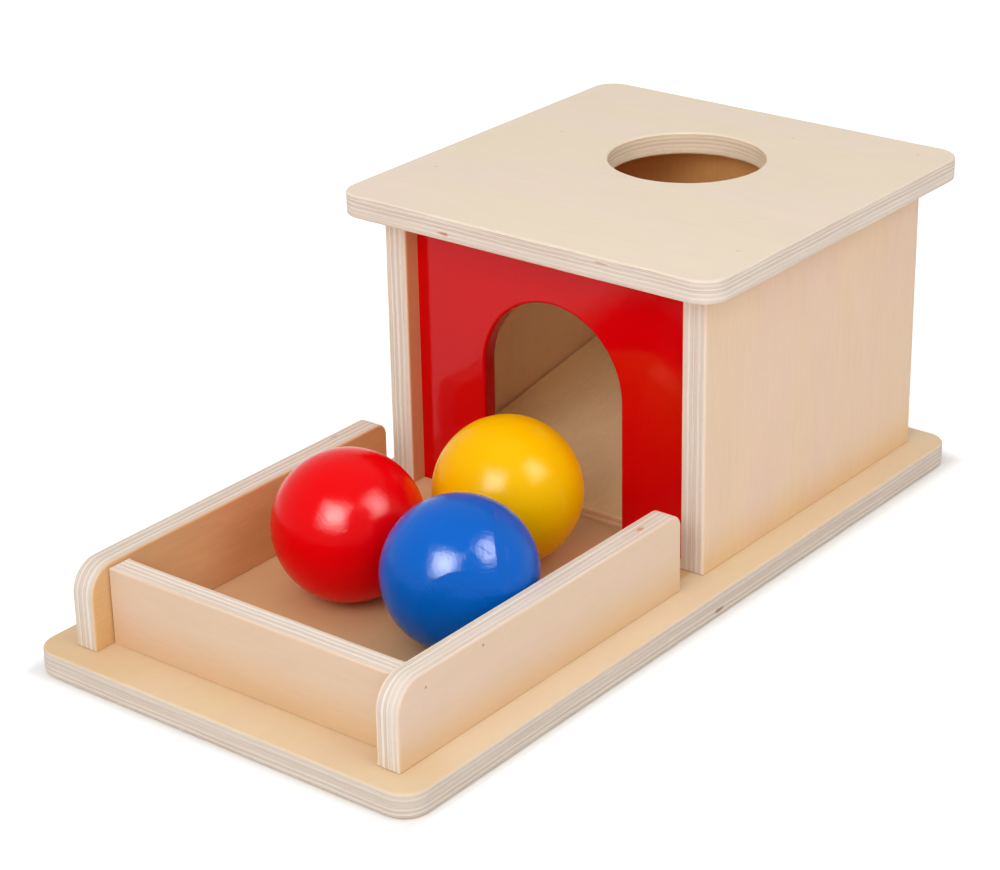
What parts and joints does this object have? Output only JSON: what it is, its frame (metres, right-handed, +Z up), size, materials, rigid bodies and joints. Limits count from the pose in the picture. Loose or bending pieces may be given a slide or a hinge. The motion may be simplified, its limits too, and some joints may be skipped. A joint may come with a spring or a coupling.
{
  "type": "object permanence box",
  "caption": "Wooden ball-drop toy: a house with a round posting hole in its roof, a ramp inside and an arched doorway opens onto a railed tray on one base board, with loose balls.",
  "frame": {"origin": "middle of the base board's underside, which is what the box rests on", "axes": "+X to the right, seen from the tray end; +Y from the tray towards the house; +Z up"},
  "size_m": [0.151, 0.301, 0.1145],
  "materials": {
    "plywood": "clear matt lacquer on pale veneer, plies showing at the edges",
    "solid_wood": "bare",
    "red_lacquer": "gloss paint",
    "red_ball_lacquer": "high gloss paint",
    "blue_ball_lacquer": "high gloss paint",
    "yellow_ball_lacquer": "high gloss paint",
    "zinc_steel": "zinc plated"
  },
  "bodies": {
    "box": {"base_board": "plywood", "tray_rail_left": "plywood", "tray_rail_right": "plywood", "tray_rail_front": "plywood", "house_wall_left": "plywood", "house_wall_right": "plywood", "front_panel": "red_lacquer", "back_panel": "plywood", "roof_board": "plywood", "ramp_board": "plywood", "ramp_batten": "solid_wood", "roof_dowels": "solid_wood", "base_screws": "zinc_steel"},
    "red_ball": {"ball_red": "red_ball_lacquer"},
    "blue_ball": {"ball_blue": "blue_ball_lacquer"},
    "yellow_ball": {"ball_yellow": "yellow_ball_lacquer"}
  },
  "joints": [
    {"name": "red_ball_lift", "type": "slide", "parent": "box", "child": "red_ball", "axis": [0, 0, 1], "range_m": [0, 0.16]},
    {"name": "blue_ball_lift", "type": "slide", "parent": "box", "child": "blue_ball", "axis": [0, 0, 1], "range_m": [0, 0.16]},
    {"name": "yellow_ball_roll", "type": "slide", "parent": "box", "child": "yellow_ball", "axis": [-0.1414, 0.99, 0], "range_m": [-0.007, 0.025]}
  ]
}
